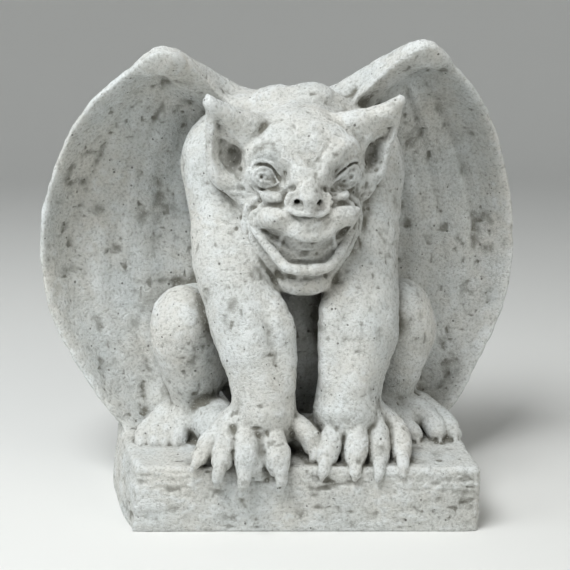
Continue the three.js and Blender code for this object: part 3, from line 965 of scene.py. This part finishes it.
COOL_PALE = (0.585, 0.61, 0.605, 1)
WARM_PALE = (0.64, 0.63, 0.59, 1)
PATCH_GREY = (0.47, 0.48, 0.455, 1)
# The dark of dirt and of painted shade in creases, hollows and under overhangs.
SOOT_AND_PAINTED_SHADE = (0.155, 0.15, 0.125, 1)
# The pale of worn raised edges, partly worn stone and partly a painted highlight.
WORN_PALE_AND_HIGHLIGHT = (0.72, 0.745, 0.745, 1)
DARK_SAND = (0.26, 0.26, 0.24, 1)
LIGHT_SAND = (0.76, 0.77, 0.755, 1)
# Painted shade inside the pinholes, and the dark of small lichen specks.
HOLE_DARK = (0.07, 0.065, 0.055, 1)
GRAIN_HEIGHT = 0.0014
CELLS_TO_THE_METRE = 230.0
LARGEST_HOLE = 0.20
stone = bpy.data.materials.new("cast_stone")
stone.use_nodes = True
tree = stone.node_tree
tree.nodes.clear()


def feed(socket, value):
    if isinstance(value, bpy.types.NodeSocket):
        tree.links.new(value, socket)
    else:
        socket.default_value = value


def node(kind, settings=None, **inputs):
    made = tree.nodes.new("ShaderNode" + kind)
    for name, value in (settings or {}).items():
        setattr(made, name, value)
    for name, value in inputs.items():
        feed(made.inputs[name.replace("_", " ")], value)
    return made


def reckon(how, first, second, clamp=False):
    made = node("Math", {"operation": how, "use_clamp": clamp})
    feed(made.inputs[0], first)
    feed(made.inputs[1], second)
    return made.outputs[0]


def span(value, low, high, start=0.0, end=1.0):
    made = node(
        "MapRange", {"clamp": True}, Value=value, From_Min=low, From_Max=high, To_Min=start, To_Max=end,
    )
    return made.outputs["Result"]


# A mix of two colours. Inputs 0, 6 and 7 are the share and the colours of a colour mix.
def tint(share, first, second):
    made = node("Mix", {"data_type": "RGBA"})
    feed(made.inputs[0], share)
    feed(made.inputs[6], first)
    feed(made.inputs[7], second)
    return made.outputs[2]


place = node("TexCoord").outputs["Object"]
crease, hollow, far_occlusion = [
    node("Attribute", {"attribute_name": row[0]}).outputs["Fac"] for row in DEPTHS
]


def mottle(scale, detail=4.0, rough=0.6):
    return node("TexNoise", Vector=place, Scale=scale, Detail=detail, Roughness=rough).outputs["Fac"]


broad = mottle(22)
patch = mottle(90)
grain = mottle(520, 3.0, 0.7)
fine = mottle(1500, 2.0, 0.7)
pale = tint(span(broad, 0.35, 0.65), COOL_PALE, WARM_PALE)
pale = tint(span(patch, 0.42, 0.72, 0, 0.35), pale, PATCH_GREY)

# Creases, hollows and places under overhangs are darkened: partly dirt, and partly painted shade where the
# soft light reaches less.
dirt_and_painted_shade = reckon("ADD", span(crease, 0.46, 0.62, 0, 0.6), span(hollow, 0.36, 0.52, 0, 0.5))
dirt_and_painted_shade = reckon("ADD", dirt_and_painted_shade, span(far_occlusion, 0.2, 0.55, 0, 0.35))
dirt_and_painted_shade = reckon("MULTIPLY", dirt_and_painted_shade, span(patch, 0.25, 0.7, 0.7, 1.25), True)
aged_and_painted_light = tint(dirt_and_painted_shade, pale, SOOT_AND_PAINTED_SHADE)
# Raised edges, where little stone is near, are lightened: partly wear, and partly a painted highlight.
aged_and_painted_light = tint(span(crease, 0.34, 0.2, 0, 0.6), aged_and_painted_light, WORN_PALE_AND_HIGHLIGHT)
aged_and_painted_light = tint(span(grain, 0.50, 0.32, 0, 0.6), aged_and_painted_light, DARK_SAND)
aged_and_painted_light = tint(span(grain, 0.56, 0.72, 0, 0.5), aged_and_painted_light, LIGHT_SAND)

# Pinholes left by air bubbles: about one cell in four holds a small dark dot, with a radius of up to
# LARGEST_HOLE of the cell. The dark of each dot is painted shade inside the pinhole, and also stands for
# small dark specks of lichen.
holes = node("TexVoronoi", {"feature": "F1"}, Vector=place, Scale=CELLS_TO_THE_METRE, Randomness=1.0)
sizes = node("TexWhiteNoise", {"noise_dimensions": "3D"}, Vector=holes.outputs["Position"]).outputs["Value"]
hole = reckon("LESS_THAN", holes.outputs["Distance"], span(sizes, 0.72, 1.0, 0.0, LARGEST_HOLE))
coat = tint(reckon("MULTIPLY", hole, 0.75), aged_and_painted_light, HOLE_DARK)
height = reckon("ADD", grain, reckon("MULTIPLY", fine, 0.35))
height = reckon("SUBTRACT", height, reckon("MULTIPLY", hole, 0.9))
bump = node("Bump", Height=height, Strength=1.0, Distance=GRAIN_HEIGHT)
shader = node("BsdfPrincipled", Base_Color=coat, Roughness=0.9, Normal=bump.outputs["Normal"])
shader.inputs["Specular IOR Level"].default_value = 0.25
node("OutputMaterial", Surface=shader.outputs["BSDF"])
casting.data.materials.clear()
casting.data.materials.append(stone)
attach(casting, "root")
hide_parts("gargoyle")


# The floor: one sheet of plain pale paper, flat under the object, that sweeps up all
# round into an upright wall.
FLAT_REACH = 1.7
BEND = 1.1
WALL_TOP = 2.6
BEND_STEPS = 12
TURN_STEPS = 64
turns = [math.radians(90 * i / BEND_STEPS) for i in range(BEND_STEPS + 1)]
profile = [(0.0005, 0, 0)]
profile += [(FLAT_REACH + BEND * math.sin(a), 0, BEND * (1 - math.cos(a))) for a in turns]
profile += [(FLAT_REACH + BEND, 0, WALL_TOP)]
sheet = bmesh.new()
line = [sheet.verts.new(point) for point in profile]
edges = [sheet.edges.new(pair) for pair in zip(line, line[1:])]
bmesh.ops.spin(
    sheet, geom=line + edges, axis=(0, 0, 1), cent=(0, 0, 0), angle=2 * math.pi, steps=TURN_STEPS,
    use_merge=True,
)
bmesh.ops.recalc_face_normals(sheet, faces=sheet.faces)
floor_mesh = bpy.data.meshes.new("floor")
sheet.to_mesh(floor_mesh)
sheet.free()
for polygon in floor_mesh.polygons:
    polygon.use_smooth = True
floor = bpy.data.objects.new("floor", floor_mesh)
bpy.context.scene.collection.objects.link(floor)
paper = bpy.data.materials.new("studio_paper")
paper.use_nodes = True
paper_shader = paper.node_tree.nodes["Principled BSDF"]
paper_shader.inputs["Base Color"].default_value = (0.72, 0.72, 0.70, 1)
paper_shader.inputs["Roughness"].default_value = 0.95
floor.data.materials.append(paper)


# The light: a large soft lamp above and in front, a weaker one from the left, a warm one
# from the right, and an even pale sky all round.
def soft_light(name, place, aim, size, power, colour):
    light = bpy.data.lights.new(name, "AREA")
    light.shape = "SQUARE"
    light.size = size
    light.energy = power
    light.color = colour
    holder = bpy.data.objects.new(name, light)
    holder.location = place
    holder.rotation_euler = (Vector(aim) - Vector(place)).to_track_quat("-Z", "Y").to_euler()
    bpy.context.scene.collection.objects.link(holder)


soft_light("sky", (-0.5, -0.72, 1.5), (0, 0, 0.12), 0.8, 26, (0.97, 0.99, 1.0))
soft_light("left_sky", (-1.3, -0.55, 0.8), (0, 0, 0.14), 0.8, 7, (0.94, 0.98, 1.0))
soft_light("right_fill", (0.95, -0.9, 0.8), (0, 0, 0.15), 0.8, 4, (1.0, 0.96, 0.88))
world = bpy.data.worlds.new("soft_sky")
world.use_nodes = True
sky_shader = world.node_tree.nodes["Background"]
sky_shader.inputs["Color"].default_value = (0.86, 0.9, 0.94, 1)
sky_shader.inputs["Strength"].default_value = 0.22
bpy.context.scene.world = world
bpy.context.scene.view_settings.view_transform = "Standard"


# The camera: it stands close in front of the figure, a little above its head, and looks
# slightly down on it through a lens that is twice as long as its film is wide.
CAMERA_PLACE = np.array([5.5, -750, 306]) / METRE + SHIFT
CAMERA_PITCH = 12.5
lens = bpy.data.cameras.new("view")
lens.sensor_width = 36
lens.lens = 72
camera = bpy.data.objects.new("view", lens)
camera.location = CAMERA_PLACE
camera.rotation_euler = (math.radians(90 - CAMERA_PITCH), 0, 0)
bpy.context.scene.collection.objects.link(camera)
bpy.context.scene.camera = camera
